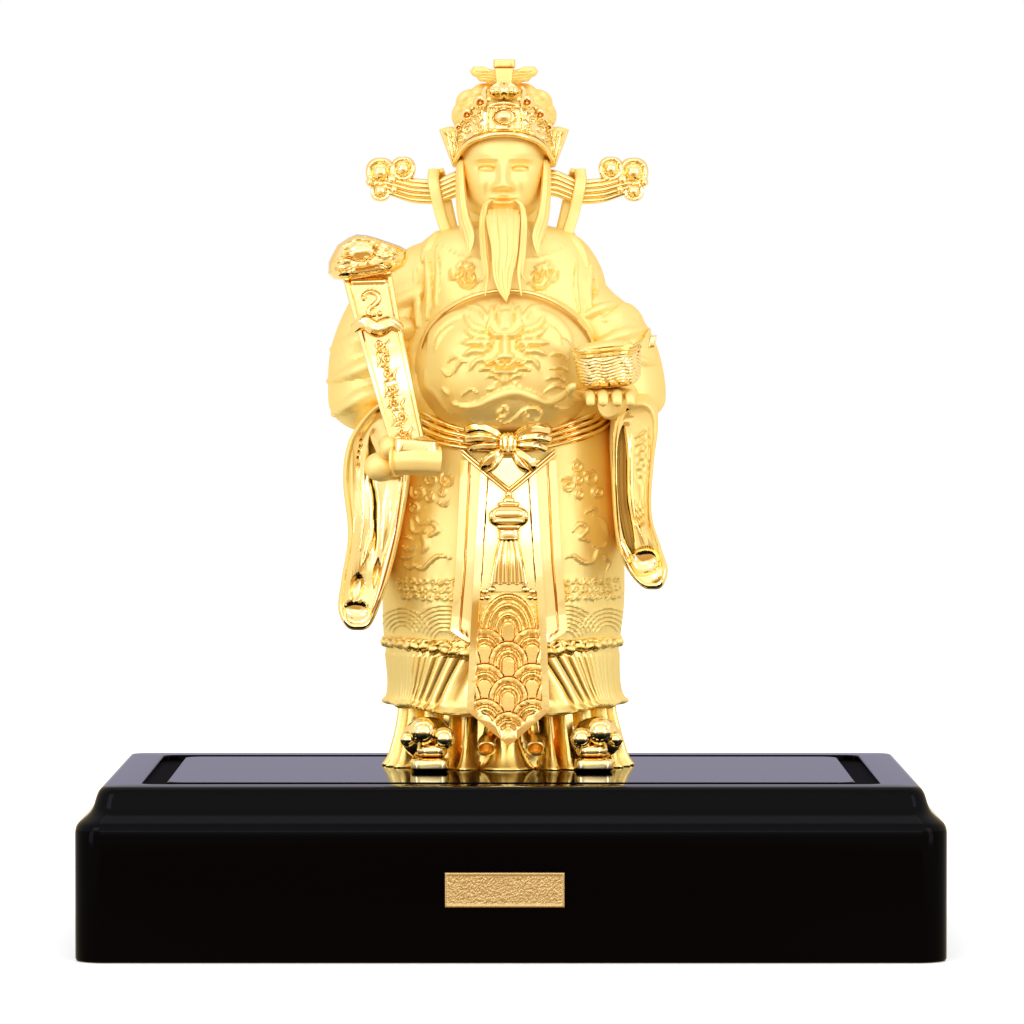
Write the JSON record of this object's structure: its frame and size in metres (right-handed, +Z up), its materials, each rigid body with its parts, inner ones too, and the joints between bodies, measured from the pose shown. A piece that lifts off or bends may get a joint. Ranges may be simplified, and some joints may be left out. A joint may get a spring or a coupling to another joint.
{
  "type": "god of wealth figure",
  "caption": "Standing god of wealth in a winged hat, holding a ruyi and an ingot, gold plated, on a black lacquered base.",
  "frame": {"origin": "centre of the base's underside", "axes": "+Z up along the standing figure, -Y the way it faces, +X to the viewer's right"},
  "size_m": [0.25, 0.156, 0.2622],
  "materials": {
    "base": "gloss black lacquer",
    "nameplate": "gilt, stippled field",
    "figure": "gold plated, satin with polished trims"
  },
  "bodies": {
    "root": {"base": "base", "nameplate": "nameplate", "figure": "figure"}
  },
  "joints": []
}
